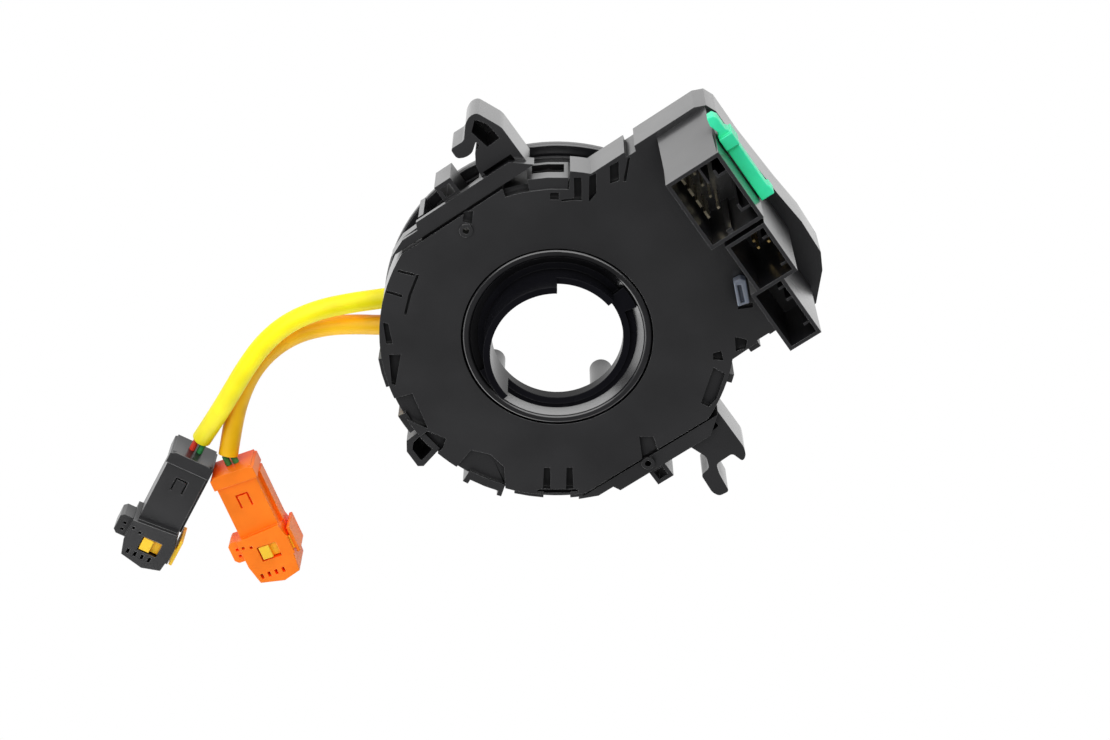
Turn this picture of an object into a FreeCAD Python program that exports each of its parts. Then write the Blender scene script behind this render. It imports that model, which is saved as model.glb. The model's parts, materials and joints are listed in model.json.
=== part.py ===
"""Steering clock spring, laid on its front side, rear (column) side up.

The frame stands at the steering axis on the resting surface: +Z along the axis to the rear,
+X towards the connector flange, +Y towards the hook beside the large socket. Millimetres.
"""
import FreeCAD
import Part
import math
import os

import Sketcher

doc = FreeCAD.newDocument("clock_spring")
sheet = doc.addObject("Spreadsheet::Sheet", "sizes")
Vec = FreeCAD.Vector

SIZES = [
    # heights
    ("foot_height", 16.0, "resting surface to the front of the rotor disc"),
    ("disc_thick", 2.4, "rotor disc"),
    ("running_gap", 0.4, "between turning and fixed faces"),
    ("case_depth", 17.6, "outer case wall, front edge to underside of the cover"),
    ("cover_thick", 2.2, "rear cover plate"),
    # rotor
    ("hub_bore", 27.5, "hub, inner radius"),
    ("hub_wall", 2.0, "hub wall"),
    ("web_bore", 19.8, "web at the hub's rear end, inner radius"),
    ("web_thick", 2.0, "web"),
    ("web_sink", 5.5, "web below the rear plane"),
    ("edge_break", 0.4, "small edge rounding"),
    # retainer ring and cancel cam
    ("ring_radius", 25.0, "retainer ring, outer radius"),
    ("ring_wall", 2.1, "retainer ring wall"),
    ("cam_bore", 17.4, "cancel cam, inner radius"),
    ("cam_wall", 1.8, "cancel cam sleeve wall"),
    ("cam_seat", 1.8, "width of the seat ring round the sleeve"),
    ("cam_drop", 3.6, "sleeve below the rear plane"),
    ("seat_drop", 1.5, "seat ring's top below the rear plane"),
    ("cam_high", 11.0, "tall step above the rear plane"),
    ("cam_low", 4.6, "short step above the rear plane"),
    ("cam_start", 5.5, "angle where the short step starts"),
    ("cam_change", 55.5, "angle where the short step meets the tall one"),
    ("cam_end", 187.5, "angle where the tall step ends"),
    ("land_angle", 17.0, "angle that a filled land covers"),
    # outer case
    ("case_radius", 43.2, "outer case wall, outer radius"),
    ("case_wall", 2.0, "outer case wall"),
    ("corner_half", 22.5, "half length of a corner plate"),
    ("plate_reach", 4.1, "corner plate beyond the case wall"),
    ("corner_thick", 5.0, "corner plate"),
    ("foot_ledge", 0.7, "ledge at the wall's front edge, out and high"),
    ("corner_sink", 0.6, "corner plate below the rear plane"),
    ("boss_radius", 1.8, "screw boss"),
    ("boss_bore", 0.85, "screw boss hole"),
    ("tube_side", 5.0, "square tube socket, outside"),
    ("tube_bore", 2.8, "square tube socket, hole"),
    ("tube_depth", 12.0, "square tube socket, length"),
    ("tube_reach", 6.4, "square tube socket's middle beyond the case wall"),
    ("hook_depth", 12.0, "hooked arm along the axis"),
    ("hook_wall", 2.2, "hooked arm's wall"),
    ("hook_arm", 21.7, "hooked arm beyond the case wall"),
    ("hook_side", 21.0, "hooked arm's outer side from the middle"),
    # rear cover
    ("rim_overlap", 3.6, "rear cover and rotor disc beyond the case wall"),
    ("cover_gap", 0.35, "between the cover's opening and the retainer ring"),
    ("chord_sink", 0.8, "straight sides of the cover inside the case wall's surface"),
    ("corner_gap", 0.7, "between cover and corner plate"),
    ("crescent_sink", 1.4, "cover edge beside the bail, inside the case wall's surface"),
    ("bail_gap", 0.3, "between the bail and the case wall"),
    ("bail_thick", 1.4, "bail that hangs from the cover over the case wall"),
    ("bail_start", 51.8, "angle where the bail starts"),
    ("bail_sweep", 13.5, "angle that the bail covers"),
    ("bail_leg", 1.4, "angle that one leg of the bail covers"),
    ("window_low", 10.3, "window's front edge below the rear plane"),
    ("window_high", 4.4, "window's rear edge below the rear plane"),
    ("rim_depth", 9.0, "rim skirt under the cover's edge"),
    ("rim_wall", 1.6, "skirt wall"),
    ("flange_reach", 68.6, "connector flange from the axis"),
    ("flange_bulge", 1.9, "connector flange's swell beside the middle socket"),
    ("flange_side", 33.0, "connector flange from the middle, on +Y"),
    ("flange_other", 31.6, "connector flange from the middle, on -Y"),
    ("flange_depth", 11.0, "connector flange skirt"),
    # connector sockets
    ("socket_height", 28.0, "socket rims above the rear plane"),
    ("socket_wall", 0.95, "socket wall"),
    ("socket_floor", 7.0, "socket floor above the rear plane"),
    ("big_inset", 1.3, "large socket inside the flange's end"),
    ("big_width", 15.3, "large socket along the flange"),
    ("big_draft", 2.5, "large socket's foot beyond its rim on +Y"),
    ("big_low", 8.4, "large socket, low end from the middle"),
    ("big_high", 29.0, "large socket, high end from the middle"),
    ("mid_inset", 2.0, "middle socket inside the flange's end"),
    ("mid_width", 11.4, "middle socket along the flange"),
    ("mid_low", -8.2, "middle socket, low end"),
    ("mid_high", 7.2, "middle socket, high end"),
    ("small_inset", 6.0, "small socket inside the flange's end"),
    ("small_width", 9.2, "small socket along the flange"),
    ("small_low", -25.8, "small socket, low end"),
    ("mid_floor", 1.0, "middle socket's floor above the rear plane"),
    ("key_thick", 0.7, "key rib in a socket"),
    ("key_length", 1.8, "key rib out from the socket's far wall"),
    ("key_sink", 1.0, "key rib's top below the socket's rim"),
    ("blade_width", 2.2, "blade terminal"),
    ("blade_thick", 0.64, "blade and pin thickness"),
    ("blade_height", 11.0, "blade above the socket floor"),
    ("blade_pitch", 3.6, "blades of the large socket"),
    ("pin_pitch", 2.2, "pins of the middle socket"),
    ("pin_rows", 3.1, "between the middle socket's two rows of pins"),
    ("pin_height", 11.0, "pin above the socket floor"),
    # connector lock
    ("lock_height", 13.0, "lock bar above the rear plane"),
    ("lock_thick", 3.3, "lock bar, out from the socket"),
    ("lock_width", 4.0, "lock bar along the axis"),
    ("lock_length", 25.8, "lock bar from foot to head"),
    ("lock_over", 5.0, "lock's head beyond the large socket"),
    ("lock_gap", 0.3, "between the lock and the socket"),
    # inside
    ("ribbon_inner", 32.6, "ribbon's innermost turn"),
    ("ribbon_pitch", 1.1, "between the ribbon's turns"),
    ("ribbon_thick", 0.4, "ribbon"),
    ("ribbon_edge", 0.4, "ribbon to the slip sheets"),
    ("sheet_thick", 0.3, "slip sheet"),
    ("sheet_inner", 30.2, "slip sheet, inner radius"),
    # front side
    ("lead_radius", 2.8, "sleeved lead"),
    ("gland_length", 16.0, "lead gland along the leads"),
    ("gland_width", 17.0, "lead gland across the leads"),
    ("gland_angle", 154.0, "direction in which the leads leave"),
    ("lead_spacing", 8.0, "between the two leads at the gland"),
    ("lead_exit", 5.0, "leads above the surface at the gland"),
    ("switch_length", 22.0, "switch socket"),
    ("switch_width", 11.0, "switch socket"),
    ("switch_wall", 1.4, "switch socket wall"),
    ("lug_radius", 3.2, "drive lug"),
    ("lug_place", 29.8, "drive lug from the axis"),
    # plugs
    ("plug_width", 12.0, "plug body"),
    ("plug_height", 10.0, "plug body"),
    ("plug_body", 25.0, "plug body from its wire end to the nose"),
    ("plug_nose", 14.0, "plug nose along the plug"),
    ("nose_width", 15.0, "plug nose across"),
    ("nose_height", 11.5, "plug nose"),
    ("collar_length", 4.0, "collar at the wire end"),
    ("rail_thick", 1.0, "latch arch and grip ribs of a plug"),
    ("tab_reach", 3.4, "plug's side tab beyond its nose"),
    ("hole_side", 0.8, "test holes in a plug"),
    ("slide_gap", 0.3, "round the lock in its slot"),
    ("latch_width", 3.8, "latch tongue outlined on a plug's rear face"),
    ("wire_radius", 0.9, "bare insulated wire"),
    ("wire_length", 3.0, "wire between sleeve and plug"),
]
for row, (alias, value, use) in enumerate(SIZES, start=1):
    sheet.set("A%d" % row, alias)
    sheet.set("B%d" % row, "%g" % value)
    sheet.set("C%d" % row, use)
    sheet.setAlias("B%d" % row, alias)
doc.recompute()


class Size:
    """A length or angle: its value, and the formula of the sheet's cells that gives it."""

    def __init__(self, value, text):
        self.value = float(value)
        self.text = text

    def joined(self, sign, other, value):
        return Size(value, "(%s %s %s)" % (self.text, sign, other.text))

    def __add__(self, other):
        other = as_size(other)
        return self.joined("+", other, self.value + other.value)

    def __sub__(self, other):
        other = as_size(other)
        return self.joined("-", other, self.value - other.value)

    def __mul__(self, other):
        other = as_size(other)
        return self.joined("*", other, self.value * other.value)

    def __truediv__(self, other):
        other = as_size(other)
        return self.joined("/", other, self.value / other.value)

    def __radd__(self, other):
        return as_size(other) + self

    def __rsub__(self, other):
        return as_size(other) - self

    def __rmul__(self, other):
        return as_size(other) * self

    def __neg__(self):
        return Size(-self.value, "(-%s)" % self.text)


def as_size(number):
    if isinstance(number, Size):
        return number
    return Size(number, "(%.6g)" % number)


def cell(alias):
    return Size(getattr(sheet, alias), "sizes." + alias)


def cosine(angle):
    angle = as_size(angle)
    return Size(math.cos(math.radians(angle.value)), "cos(%s)" % angle.text)


def sine(angle):
    angle = as_size(angle)
    return Size(math.sin(math.radians(angle.value)), "sin(%s)" % angle.text)


def polar(radius, angle):
    return radius * cosine(angle), radius * sine(angle)


def around(radius, points):
    """Corners given as a distance outside a radius and an angle."""
    return [polar(radius + out, angle) for out, angle in points]


def beside(x, y, points):
    """Corners given from a place."""
    return [(x + across, y + along) for across, along in points]


def corners(xs, ys):
    """Corners of a rectangle between two values along each axis."""
    return [(xs[0], ys[0]), (xs[1], ys[0]), (xs[1], ys[1]), (xs[0], ys[1])]


def bind(thing, prop, wanted):
    thing.setExpression(prop, as_size(wanted).text)


# levels along the axis
DISC_FRONT = cell("foot_height")
DISC_REAR = DISC_FRONT + cell("disc_thick")
CASE_FRONT = DISC_REAR + cell("running_gap")
COVER_FRONT = CASE_FRONT + cell("case_depth")
REAR = COVER_FRONT + cell("cover_thick")

# distances from the axis that follow the case wall
CASE = cell("case_radius")
RIM = CASE + cell("rim_overlap")
CHORD = CASE - cell("chord_sink")
CRESCENT = CASE - cell("crescent_sink")
PLATE_EDGE = CASE + cell("plate_reach")
TUBE_PLACE = CASE + cell("tube_reach")
HOOK_END = CASE + cell("hook_arm")

PIECES = {}


def keep(label, shape_object):
    """Name a finished piece; its label names its file."""
    if shape_object.TypeId == "PartDesign::Body":
        shape_object.Tip.Refine = True
    shape_object.Label = label
    PIECES[label] = shape_object
    return shape_object


def place(thing, x=0, y=0, z=0, turn=None):
    if turn is not None:
        thing.Placement = FreeCAD.Placement(Vec(0, 0, 0), FreeCAD.Rotation(Vec(0, 0, 1), 10))
        bind(thing, "Placement.Rotation.Angle", turn)
    for axis, wanted in zip("xyz", (x, y, z)):
        bind(thing, "Placement.Base." + axis, wanted)
    return thing


def box(name, xs, ys, zs):
    """A block between two values along each axis."""
    block = doc.addObject("Part::Box", name)
    for prop, (low, high) in zip(("Length", "Width", "Height"), (xs, ys, zs)):
        bind(block, prop, as_size(high) - low)
    return place(block, xs[0], ys[0], zs[0])


def cylinder(name, radius, low, high, x=0, y=0, sweep=None, start=0):
    round_bar = doc.addObject("Part::Cylinder", name)
    bind(round_bar, "Radius", radius)
    bind(round_bar, "Height", as_size(high) - low)
    if sweep is not None:
        bind(round_bar, "Angle", sweep)
    return place(round_bar, x, y, low, start if sweep is not None else None)


def fuse(name, *solids):
    union = doc.addObject("Part::MultiFuse", name)
    union.Shapes = list(solids)
    union.Refine = True
    return union


def cut(name, base, *tools):
    result = doc.addObject("Part::Cut", name)
    result.Base = base
    result.Tool = tools[0] if len(tools) == 1 else fuse(name + "_tools", *tools)
    result.Refine = True
    return result


def ring(name, outer, inner, low, high, sweep=None, start=0):
    """A ring, or a sector of one, about the axis."""
    return cut(name, cylinder(name + "_outer", outer, low, high, sweep=sweep, start=start),
               cylinder(name + "_inner", inner, as_size(low) - 1, as_size(high) + 1))


def group(name, solids):
    together = doc.addObject("Part::Compound", name)
    together.Links = list(solids)
    return together


class Design:
    """A PartDesign body, with one sketch for each feature."""

    def __init__(self, name):
        self.name = name
        self.body = doc.addObject("PartDesign::Body", name)
        self.steps = 0

    def sketch(self, level=0, plane="XY_Plane", turn=None):
        self.steps += 1
        new = self.body.newObject("Sketcher::SketchObject", "%s_sketch_%d" % (self.name, self.steps))
        support = [item for item in self.body.Origin.OriginFeatures if item.Role == plane]
        new.AttachmentSupport = [(support[0], "")]
        new.MapMode = "FlatFace"
        if turn is not None:
            new.AttachmentOffset = FreeCAD.Placement(Vec(0, 0, 0), FreeCAD.Rotation(Vec(0, 0, 1), 10))
            bind(new, "AttachmentOffset.Rotation.Angle", turn)
        bind(new, "AttachmentOffset.Base.z", level)
        return new

    def named(self, sketch, kind, items, wanted):
        """Add a constraint whose value follows the sheet."""
        wanted = as_size(wanted)
        index = sketch.addConstraint(Sketcher.Constraint(kind, *items, wanted.value))
        name = "size_%d" % index
        sketch.renameConstraint(index, name)
        bind(sketch, "Constraints." + name, wanted)

    def circle(self, sketch, radius, x=0, y=0):
        radius, x, y = as_size(radius), as_size(x), as_size(y)
        edge = sketch.addGeometry(Part.Circle(Vec(x.value, y.value, 0), Vec(0, 0, 1), radius.value))
        self.named(sketch, "Radius", (edge,), radius)
        self.point(sketch, edge, 3, x, y)

    def point(self, sketch, edge, end, x, y):
        x, y = as_size(x), as_size(y)
        self.named(sketch, "DistanceX", (edge, end), x)
        self.named(sketch, "DistanceY", (edge, end), y)

    def outline(self, sketch, points):
        """A closed run of straight edges through points given as pairs of sizes."""
        points = [(as_size(x), as_size(y)) for x, y in points]
        corners = [Vec(x.value, y.value, 0) for x, y in points]
        edges = [sketch.addGeometry(Part.LineSegment(one, two))
                 for one, two in zip(corners, corners[1:] + corners[:1])]
        for one, two in zip(edges, edges[1:] + edges[:1]):
            sketch.addConstraint(Sketcher.Constraint("Coincident", one, 2, two, 1))
        for edge, (x, y) in zip(edges, points):
            self.point(sketch, edge, 1, x, y)

    def feature(self, kind, sketch, length):
        new = self.body.newObject("PartDesign::" + kind, "%s_%s_%d" % (self.name, kind.lower(), self.steps))
        new.Profile = sketch
        new.Refine = False
        bind(new, "Length", length)
        sketch.Visibility = False
        self.body.Tip = new
        return new

    def pad(self, draw, low, high, turn=None):
        """Add what draw puts into a sketch, from one level up to another."""
        sketch = self.sketch(low, turn=turn)
        draw(sketch)
        return self.feature("Pad", sketch, as_size(high) - low)

    def pocket(self, draw, low, high, turn=None):
        """Cut what draw puts into a sketch, from the upper level down to the lower one."""
        sketch = self.sketch(high, turn=turn)
        draw(sketch)
        return self.feature("Pocket", sketch, as_size(high) - low)

    def revolve(self, points):
        """Turn a profile of radius and height about the axis."""
        sketch = self.sketch(plane="XZ_Plane")
        self.outline(sketch, points)
        new = self.body.newObject("PartDesign::Revolution", "%s_turned" % self.name)
        new.Profile = sketch
        new.ReferenceAxis = (sketch, ["V_Axis"])
        new.Angle = 360
        sketch.Visibility = False
        self.body.Tip = new
        return new

    def rounds(self, *radii):
        return lambda sketch: [self.circle(sketch, radius) for radius in radii]

    def shape(self, points):
        return lambda sketch: self.outline(sketch, points)

    def shapes(self, outlines):
        return lambda sketch: [self.outline(sketch, points) for points in outlines]

    def across(self, points, low, high):
        """Add a profile of Y and Z, from one value of X to another."""
        sketch = self.sketch(low, plane="YZ_Plane")
        self.outline(sketch, points)
        return self.feature("Pad", sketch, as_size(high) - low)

    def block(self, xs, ys):
        return self.shape(corners(xs, ys))

    def hole(self, radius, x, y):
        return lambda sketch: self.circle(sketch, radius, x, y)


def make_rotor():
    """Front disc, hub and web in one moulding, with the drive lugs on its front."""
    design = Design("rotor_moulding")
    bore, wall = cell("hub_bore"), cell("hub_wall")
    web_rear = REAR - cell("web_sink")
    edge = cell("edge_break")
    rim = RIM
    design.revolve([
        (bore, DISC_FRONT), (rim - edge, DISC_FRONT), (rim, DISC_FRONT + edge), (rim, DISC_REAR - edge),
        (rim - edge, DISC_REAR), (bore + wall, DISC_REAR), (bore + wall, web_rear),
        (cell("web_bore"), web_rear), (cell("web_bore"), web_rear - cell("web_thick")),
        (bore, web_rear - cell("web_thick"))])
    for angle in LUG_ANGLES:
        x, y = polar(cell("lug_place"), angle)
        design.pad(design.hole(cell("lug_radius"), x, y), 0, DISC_FRONT)
    return keep("rotor", design.body)


def make_retainer_ring():
    design = Design("ring_moulding")
    outer, inner = cell("ring_radius"), cell("ring_radius") - cell("ring_wall")
    low, edge = REAR - cell("web_sink"), cell("edge_break")
    design.revolve([(inner, low), (outer, low), (outer, REAR - edge), (outer - edge, REAR),
                    (inner + edge, REAR), (inner, REAR - edge)])
    return keep("retainer_ring", design.body)


def make_cancel_cam():
    """Sleeve with a short and a tall step, and the seat ring by which it stands on the web."""
    inner = cell("cam_bore")
    outer = inner + cell("cam_wall")
    seat = outer + cell("cam_seat")
    web_rear = REAR - cell("web_sink")
    start, change, end = cell("cam_start"), cell("cam_change"), cell("cam_end")
    land = cell("ring_radius") - cell("ring_wall") - cell("cover_gap")
    parts = [
        ring("sleeve", outer, inner, REAR - cell("cam_drop"), REAR),
        ring("seat", seat, outer, web_rear, REAR - cell("seat_drop")),
        ring("short_step", outer, inner, REAR, REAR + cell("cam_low"), change - start, start),
        ring("tall_step", outer, inner, REAR, REAR + cell("cam_high"), end - change, change),
        ring("first_land", land, outer, web_rear, REAR, cell("land_angle"), start - cell("land_angle")),
        ring("second_land", land, outer, web_rear, REAR, cell("land_angle"), end - cell("land_angle")),
    ]
    return keep("cancel_cam", fuse("cam_moulding", *parts))


def make_outer_case():
    """Round wall with two corner plates, each with a hooked arm and a square tube socket."""
    design = Design("case_moulding")
    inner = CASE - cell("case_wall")
    chord = CHORD + cell("corner_gap")
    half = cell("corner_half")
    ledge = cell("foot_ledge")
    plate_top = REAR - cell("corner_sink")
    plate_low = plate_top - cell("corner_thick")
    neck = CASE * 0.27
    design.pad(design.rounds(CASE, inner), CASE_FRONT, COVER_FRONT)
    design.pad(design.rounds(CASE + ledge, inner), CASE_FRONT + ledge, CASE_FRONT + 3 * ledge)
    for side in (1, -1):
        design.pad(design.shape([
            (-neck, side * (chord - 1.5)), (neck, side * (chord - 1.5)), (neck + 2, side * chord),
            (half, side * chord), (half - 5, side * PLATE_EDGE), (5 - half, side * (PLATE_EDGE - 2)),
            (-half, side * chord), (-neck - 3, side * chord)]), plate_low, COVER_FRONT)
        design.pad(design.shape([
            (-half, side * chord), (half, side * chord), (half - 5, side * PLATE_EDGE),
            (-neck, side * PLATE_EDGE), (-neck - 1, side * (PLATE_EDGE - 2)),
            (5 - half, side * (PLATE_EDGE - 2))]), COVER_FRONT, plate_top)
        make_tube_socket(design, side, plate_top)
        for x in (-neck, neck - 4):
            design.pad(design.block((x, x + 1.6), (side * (CASE - 2), side * (PLATE_EDGE - 0.6))),
                       CASE_FRONT + 3 * ledge, plate_low)
    make_hooks(design, plate_top)
    boss_y = -TUBE_PLACE + 5.2
    design.pad(design.hole(cell("boss_radius"), -0.8, boss_y), plate_top, REAR + 0.2)
    design.pocket(design.hole(cell("boss_bore"), -0.8, boss_y), plate_low, REAR + 0.2)
    start, sweep, leg = cell("bail_start"), cell("bail_sweep"), cell("bail_leg")
    design.pocket(design.shape(
        around(CASE, [(2, start + leg + 0.4), (-4, start + leg + 0.4),
                      (-4, start + sweep - leg - 0.4), (2, start + sweep - leg - 0.4)])),
        REAR - cell("window_low") + 0.3, REAR - cell("window_high") - 0.3)
    return keep("outer_case", design.body)


def make_tube_socket(design, side, top):
    outside, bore = cell("tube_side") / 2, cell("tube_bore") / 2
    low = top - cell("tube_depth")
    middle = side * TUBE_PLACE
    neck = side * (PLATE_EDGE - 3)
    design.pad(design.block((-outside, outside), (neck, middle + side * outside)), low, top - 1)
    design.pocket(design.block((-bore, bore), (middle - bore, middle + bore)), low, top - 1)


def make_hooks(design, plate_top):
    """Two hooked arms, one on each corner plate, hollow behind their thin outer wall."""
    side, reach, wall = cell("hook_side"), HOOK_END, cell("hook_wall")
    top = plate_top - 2
    low = top - cell("hook_depth")
    root = CHORD + cell("corner_gap")
    throat = reach - 10.7
    design.pad(design.shape([
        (side - 12.6, root), (side - 11.4, throat - 3.5), (side - 9.2, throat), (side - 7.6, throat),
        (side - 7.4, throat + 3), (side - 10.2, throat - 0.2), (side - 12.3, throat - 0.2),
        (side - 14.3, throat + 0.8), (side - 14.2, reach - 4.5), (side - 10, reach - 4.6),
        (side - 7, reach - 1), (side - 5, reach), (side - 3, reach - 0.3), (side - 1.2, reach - 4.3),
        (side, throat + 1.5), (side, root)]), low, top)
    panel = throat - 0.8
    floor = low + wall
    design.pocket(design.shape([
        (side - 5.6, panel), (side - wall, panel), (side - wall, throat + 1.5),
        (side - wall - 1.2, reach - 4.6), (side - 4.2, reach - 2.6), (side - 5.6, reach - 3.6)]), floor, top)
    design.pocket(design.shape([
        (side - 11, panel - 5.2), (side - wall, panel - 5.2), (side - wall, root + 1.2),
        (side - 10.5, root + 2.6)]), floor, top)
    side = side + 1.6
    design.pad(design.shape([
        (side - 13.6, -root), (side - 12, -throat + 6.5), (side - 10, -throat + 1.3),
        (side - 11.2, -throat - 2), (side - 14.2, -throat - 2.6), (side - 14.6, -reach + 2),
        (side - 13.6, -reach), (side - 10.6, -reach - 0.3), (side - 9.9, -throat - 5),
        (side - 9, -throat - 2.1), (side - 3.7, -throat - 1.8), (side - 2.6, -throat - 5.4),
        (side - 1, -throat - 4.5), (side, -throat - 2), (side, -root)]), low, top)
    design.pocket(design.shape([
        (side - 10.6, -root - 2.4), (side - wall, -root - 1.4), (side - wall, -root - 3.8),
        (side - 10.2, -root - 5)]), floor, top)


SOCKETS = ("big", "mid", "small")


def socket_box(kind):
    """The outside of a socket, as its X and Y limits."""
    far = cell("flange_reach") - cell(kind + "_inset")
    low = cell(kind + "_low")
    high = cell("mid_low") + cell("socket_wall") if kind == "small" else cell(kind + "_high")
    return (far - cell(kind + "_width"), far), (low, high)


def socket_inside(kind):
    (near, far), (low, high) = socket_box(kind)
    wall = cell("socket_wall")
    return (near + wall, far - wall), (low + wall, high - wall)


# Hollows in the cover's edge, by depth; each corner is a distance outside the rim and an angle.
EDGE_HOLLOWS = {
    1.0: [
        [(-1.2, 120.2), (-1.2, 121.1), (-5.6, 120.1), (-5.6, 119.1)],
        [(-0.3, 128.4), (-0.3, 129.3), (-4.6, 129.5), (-4.6, 128.5)],
        [(-6.0, 119), (-6.7, 119), (-6.8, 127.5), (-6.8, 136), (-6.1, 136), (-6.1, 127.5)],
    ],
    1.2: [
        [(-0.9, 139.9), (-2.3, 140.2), (-3.4, 147.7), (-1.8, 147.6)],
        [(1, 167.5), (-5, 168.3), (-3.2, 183), (1, 174.5)],
        [(1, 200), (-6.5, 200.5), (-8, 208), (-6, 215), (1, 218.5)],
        [(-4.5, 313.7), (-1.1, 312.4), (-0.8, 303), (-1.6, 299), (-4, 299.1)],
    ],
    1.7: [
        [(-2.2, 151.7), (-5.3, 152.1), (-1.7, 163.3), (-0.9, 162.5)],
        [(-8.3, 230.2), (-8.3, 232.8), (-1.9, 233.2), (-1.9, 230.6)],
        [(-8.3, 239.3), (-8.3, 241.7), (-1.9, 241.1), (-1.9, 238.6)],
        [(-3.3, 320.5), (-2.4, 317), (-5.1, 316.8), (-5.4, 319.3)],
        [(2, 184), (-2.6, 183.7), (-4.8, 190.4), (-2.2, 192), (2, 192.3)],
        [(-0.4, 228.6), (-1.5, 228.8), (-1.5, 242.6), (-0.4, 242.8)],
    ],
}
# Lips round the cover's skirt: distance outside the rim, start and end angle.
EDGE_LIPS = [(0.9, 153, 163.2), (1.6, 174, 181), (1.0, 221.4, 231), (1.0, 239.8, 243.6),
             (1.6, 205.5, 217.6), (1.4, 309.5, 312.5)]
EDGE_PRONGS = [(2.9, 204.6, 206.4), (2.9, 216.2, 217.7)]
# The clip at the edge, its outside and its hollow.
CLIP_OUTSIDE = [(-1.2, 191.8), (5.8, 192.2), (6.9, 191.0), (6.0, 185.4), (4.0, 182.7), (-1.2, 182.4)]
CLIP_INSIDE = [(0.5, 190.2), (5.0, 190.5), (4.4, 186.0), (2.9, 184.4), (0.5, 184)]


def make_rear_cover():
    """Cover plate, connector flange with its skirt, and three sockets in one moulding."""
    design = Design("cover_moulding")
    bore = cell("ring_radius") + cell("cover_gap")
    wall = cell("rim_wall")
    rim_low = COVER_FRONT - cell("rim_depth")
    skirt = COVER_FRONT - cell("flange_depth")
    reach, side, other = cell("flange_reach"), cell("flange_side"), cell("flange_other")
    bulge = cell("flange_bulge")
    design.pad(design.rounds(RIM, bore), COVER_FRONT, REAR)
    design.pad(design.rounds(RIM, RIM - wall), rim_low, COVER_FRONT)
    design.pad(design.shape([
        (30, -other), (reach - 7.2, -other + 1.4), (reach - 0.8, -other + 8.5), (reach + bulge - 0.4, -other + 13),
        (reach + bulge, -other + 23), (reach + bulge / 2, -other + 33), (reach, side - 15),
        (reach, side - 4), (reach - 1.2, side - 1.2), (reach - 4, side), (30, side)]), skirt, REAR)
    design.pocket(design.shape([
        (20, -other + wall), (reach - 8, -other + wall + 1.4), (reach - wall - 1, -other + 9),
        (reach - wall + bulge - 0.6, -other + 13.6), (reach - wall + bulge, -other + 23), (reach - wall, side - 15),
        (reach - wall, side - 4.6), (reach - wall - 2.6, side - wall), (20, side - wall)]),
        skirt, COVER_FRONT)
    design.pocket(design.rounds(CASE + cell("corner_gap")), skirt, COVER_FRONT)
    far = RIM + 20
    design.pocket(design.shapes([
        [(-far, way * CHORD), (far, way * CHORD), (far, way * far), (-far, way * far)] for way in (1, -1)]),
        skirt, REAR)
    start, sweep, leg = cell("bail_start"), cell("bail_sweep"), cell("bail_leg")
    end = start + sweep
    crescent = around(CRESCENT, [(0, 74), (0, 69), (0, end + 0.6), (0, 58), (0, start - 0.4),
                                 (20, start - 0.4), (24, 62), (24, 74)])
    slot = beside(43, side, [(0.7, 1), (3.8, 1), (3.0, -1.4), (0, -1.4)])
    notch = beside(reach - 25.6, -other, [(0, -1), (3.7, -1), (3.7, 1.2), (0, 1.2)])
    design.pocket(design.shapes([crescent, slot, notch]), skirt, REAR)
    design.pocket(design.rounds(bore), COVER_FRONT, REAR)
    make_bail(design, start, end, leg)
    hollows = {depth: [around(RIM, hollow) for hollow in some] for depth, some in EDGE_HOLLOWS.items()}
    add_flange_hollows(hollows, side, other)
    for depth, outlines in hollows.items():
        design.pocket(design.shapes(outlines), REAR - depth, REAR)
    for lips in (EDGE_LIPS, EDGE_PRONGS):
        design.pad(design.shapes([
            around(RIM, [(-0.8, first), (out, first), (out, (first + last) / 2), (out, last),
                         (-0.8, last), (-0.8, (first + last) / 2)]) for out, first, last in lips]),
            rim_low, REAR - 0.4)
    design.pad(design.shape(around(RIM, CLIP_OUTSIDE)), rim_low, REAR - 0.8)
    design.pocket(design.shape(around(RIM, CLIP_INSIDE)), rim_low + wall, REAR - 0.8)
    design.pad(design.block((reach - 28.9, reach - 25.8), (-other - 1, -other + 1.4)), skirt, REAR - 0.6)
    boss = (-2.1, CHORD - 4)
    design.pad(design.hole(cell("boss_radius"), *boss), REAR - 1, REAR + 0.4)
    design.pocket(design.hole(cell("boss_bore"), *boss), COVER_FRONT, REAR + 0.4)
    make_sockets(design)
    make_socket_keys(design)
    return keep("rear_cover", design.body)


def make_bail(design, start, end, leg):
    """A frame that hangs from the cover's edge over the case wall, with a window for a catch."""
    inside = CASE + cell("bail_gap")
    out = cell("bail_thick")
    middle = (start + end) / 2
    low, high = REAR - cell("window_low"), REAR - cell("window_high")
    design.pad(design.shape(around(inside, [(0, start), (out, start), (out, middle), (out, end), (0, end),
                                            (0, middle)])), low - 1.4, REAR - 0.3)
    design.pad(design.shape(around(CRESCENT, [(-2, start), (3, start), (3, end), (-2, end), (-2, middle)])),
               COVER_FRONT + 0.3, REAR - 0.3)
    design.pocket(design.shape(around(inside, [(-0.2, start + leg), (4, start + leg), (4, end - leg),
                                               (-0.2, end - leg)])), low, high)


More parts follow.
